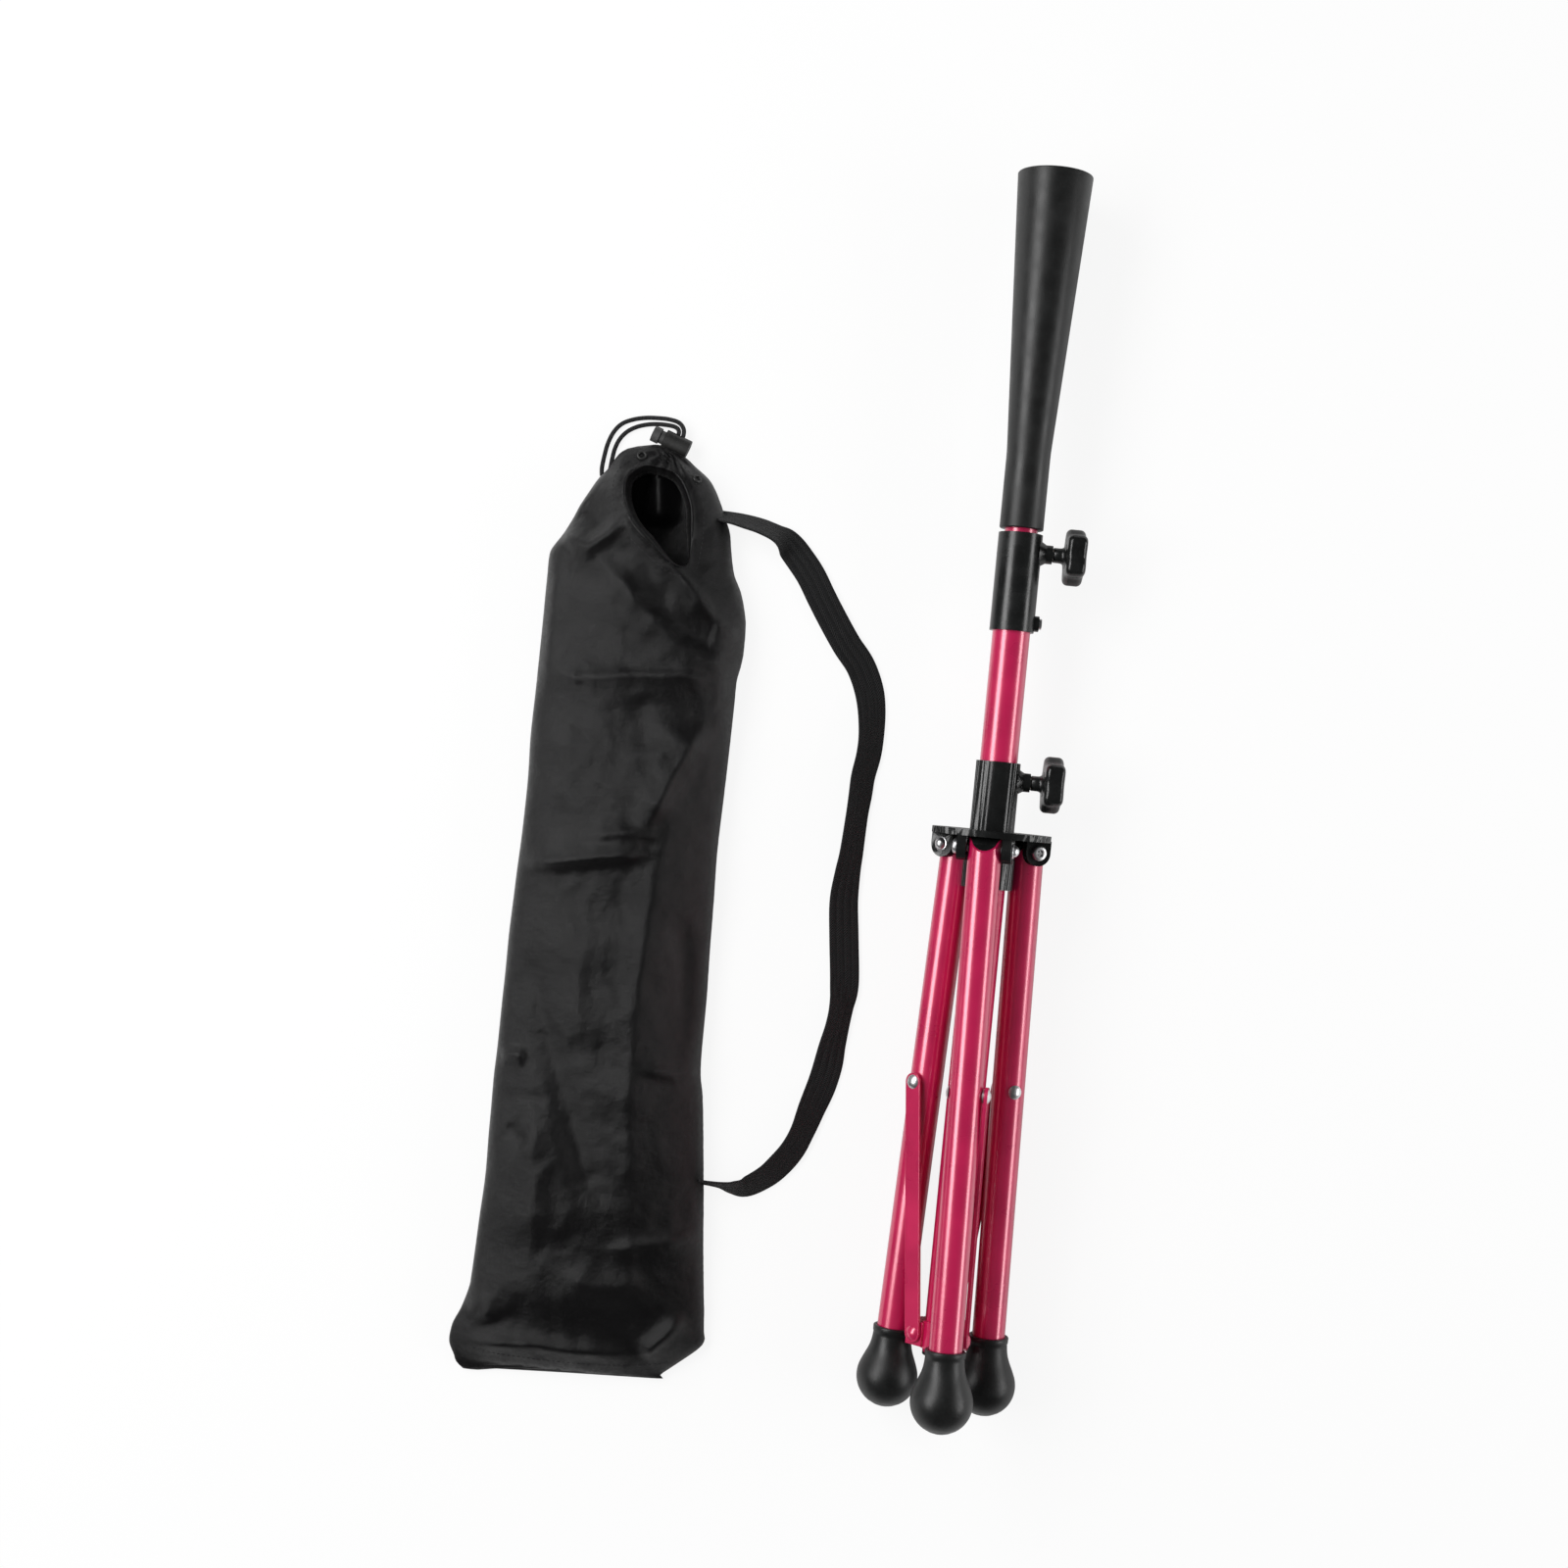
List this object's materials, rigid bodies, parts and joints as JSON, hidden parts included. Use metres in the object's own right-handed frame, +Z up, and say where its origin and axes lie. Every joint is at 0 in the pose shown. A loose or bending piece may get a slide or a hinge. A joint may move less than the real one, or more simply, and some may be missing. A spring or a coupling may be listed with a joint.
{
  "type": "folding tripod batting tee with carry bag",
  "caption": "Portable batting tee folded flat: rubber ball cup on a sliding tube, clamp knobs, braced tripod legs with ball feet, and its drawstring carry bag with shoulder strap.",
  "frame": {"origin": "middle of the set on the surface that it lies on", "axes": "+Y along the tee towards its cup, +Z up from the surface, the tee at +X and the bag at -X"},
  "size_m": [0.382, 0.828, 0.098],
  "materials": {
    "red_paint": "glossy crimson powder coat",
    "black_plastic": "moulded, satin",
    "black_rubber": "moulded, semi-matt",
    "steel": "bright zinc plate",
    "brass": "turned",
    "white_plastic": "moulded",
    "bag_cloth": "black woven nylon, slight sheen",
    "webbing": "black woven webbing",
    "cord": "black braided cord",
    "grey_plastic": "moulded, satin"
  },
  "bodies": {
    "post": {"main_tube": "red_paint", "upper_collar": "black_plastic", "upper_insert": "brass", "collar_screw": "steel", "lower_hub": "red_paint", "brace_pins": "red_paint", "post_plug": "black_plastic"},
    "riser": {"inner_tube": "red_paint", "cup": "black_rubber", "inner_tube_cap": "black_plastic", "inner_tube_bush": "white_plastic"},
    "hub": {"hub": "black_plastic", "hub_insert": "brass", "leg_bolts": "steel", "leg_nuts": "steel"},
    "front_leg": {"front_leg_tube": "red_paint", "front_leg_plug": "black_plastic", "front_foot": "black_rubber", "front_leg_rivet": "steel"},
    "right_leg": {"right_leg_tube": "red_paint", "right_leg_plug": "black_plastic", "right_foot": "black_rubber", "right_leg_rivet": "steel"},
    "left_leg": {"left_leg_tube": "red_paint", "left_leg_plug": "black_plastic", "left_foot": "black_rubber", "left_leg_rivet": "steel"},
    "front_brace": {"front_brace": "red_paint", "front_brace_rivet": "steel"},
    "right_brace": {"right_brace": "red_paint", "right_brace_rivet": "steel"},
    "left_brace": {"left_brace": "red_paint", "left_brace_rivet": "steel"},
    "upper_knob": {"upper_knob": "black_plastic", "upper_clamp_screw": "steel"},
    "lower_knob": {"lower_knob": "black_plastic", "lower_clamp_screw": "steel"},
    "bag": {"bag_back_panel": "bag_cloth", "bag_front_panel": "bag_cloth", "shoulder_strap": "webbing", "cord_left": "cord", "cord_right": "cord", "cord_knot": "cord", "cord_lock_barrel": "black_plastic", "cord_lock_spring": "steel"},
    "lock_button": {"cord_lock_button": "grey_plastic"}
  },
  "joints": [
    {"name": "riser_slide", "type": "slide", "parent": "post", "child": "riser", "axis": [0, 1, 0], "range_m": [0, 0.24]},
    {"name": "hub_slide", "type": "slide", "parent": "post", "child": "hub", "axis": [0, -1, 0], "range_m": [0, 0.1297]},
    {"name": "front_leg_hinge", "type": "hinge", "parent": "hub", "child": "front_leg", "pos_m": [0.13198, -0.0345, 0.06591], "axis": [-0.9781, 0, -0.2079], "range_deg": [0, 48.38]},
    {"name": "front_brace_hinge", "type": "hinge", "parent": "post", "child": "front_brace", "pos_m": [0.1351, -0.35828, 0.05124], "axis": [0.9781, 0, 0.2079], "range_deg": [0, 49.69]},
    {"name": "right_leg_hinge", "type": "hinge", "parent": "hub", "child": "right_leg", "pos_m": [0.16327, -0.0345, 0.03116], "axis": [0.309, 0, 0.9511], "range_deg": [0, 48.38]},
    {"name": "right_brace_hinge", "type": "hinge", "parent": "post", "child": "right_brace", "pos_m": [0.149, -0.35828, 0.03579], "axis": [-0.309, 0, -0.9511], "range_deg": [0, 49.69]},
    {"name": "left_leg_hinge", "type": "hinge", "parent": "hub", "child": "left_leg", "pos_m": [0.11753, -0.0345, 0.02143], "axis": [0.6691, 0, -0.7431], "range_deg": [0, 48.38]},
    {"name": "left_brace_hinge", "type": "hinge", "parent": "post", "child": "left_brace", "pos_m": [0.12867, -0.35828, 0.03147], "axis": [-0.6691, 0, 0.7431], "range_deg": [0, 49.69]},
    {"name": "upper_knob_turn", "type": "hinge", "parent": "post", "child": "upper_knob", "pos_m": [0.17459, 0.163, 0.0395], "axis": [1, 0, 0], "range_deg": [0, 270]},
    {"name": "lower_knob_turn", "type": "hinge", "parent": "hub", "child": "lower_knob", "pos_m": [0.17459, 0.0111, 0.0395], "axis": [1, 0, 0], "range_deg": [0, 270]},
    {"name": "bag_lift", "type": "slide", "parent": "post", "child": "bag", "axis": [0, 0, 1], "range_m": [0, 0.25]},
    {"name": "lock_button_press", "type": "slide", "parent": "bag", "child": "lock_button", "axis": [0.9367, -0.3502, 0], "range_m": [0, 0.003], "stiffness_N_per_m": 1200, "springref_m": -0.002}
  ],
  "couplings": [
    {"joint": "front_leg_hinge", "follows": "hub_slide", "rad_per_m": 6.5038},
    {"joint": "front_brace_hinge", "follows": "hub_slide", "rad_per_m": 6.6798},
    {"joint": "right_leg_hinge", "follows": "hub_slide", "rad_per_m": 6.5038},
    {"joint": "right_brace_hinge", "follows": "hub_slide", "rad_per_m": 6.6798},
    {"joint": "left_leg_hinge", "follows": "hub_slide", "rad_per_m": 6.5038},
    {"joint": "left_brace_hinge", "follows": "hub_slide", "rad_per_m": 6.6798}
  ]
}
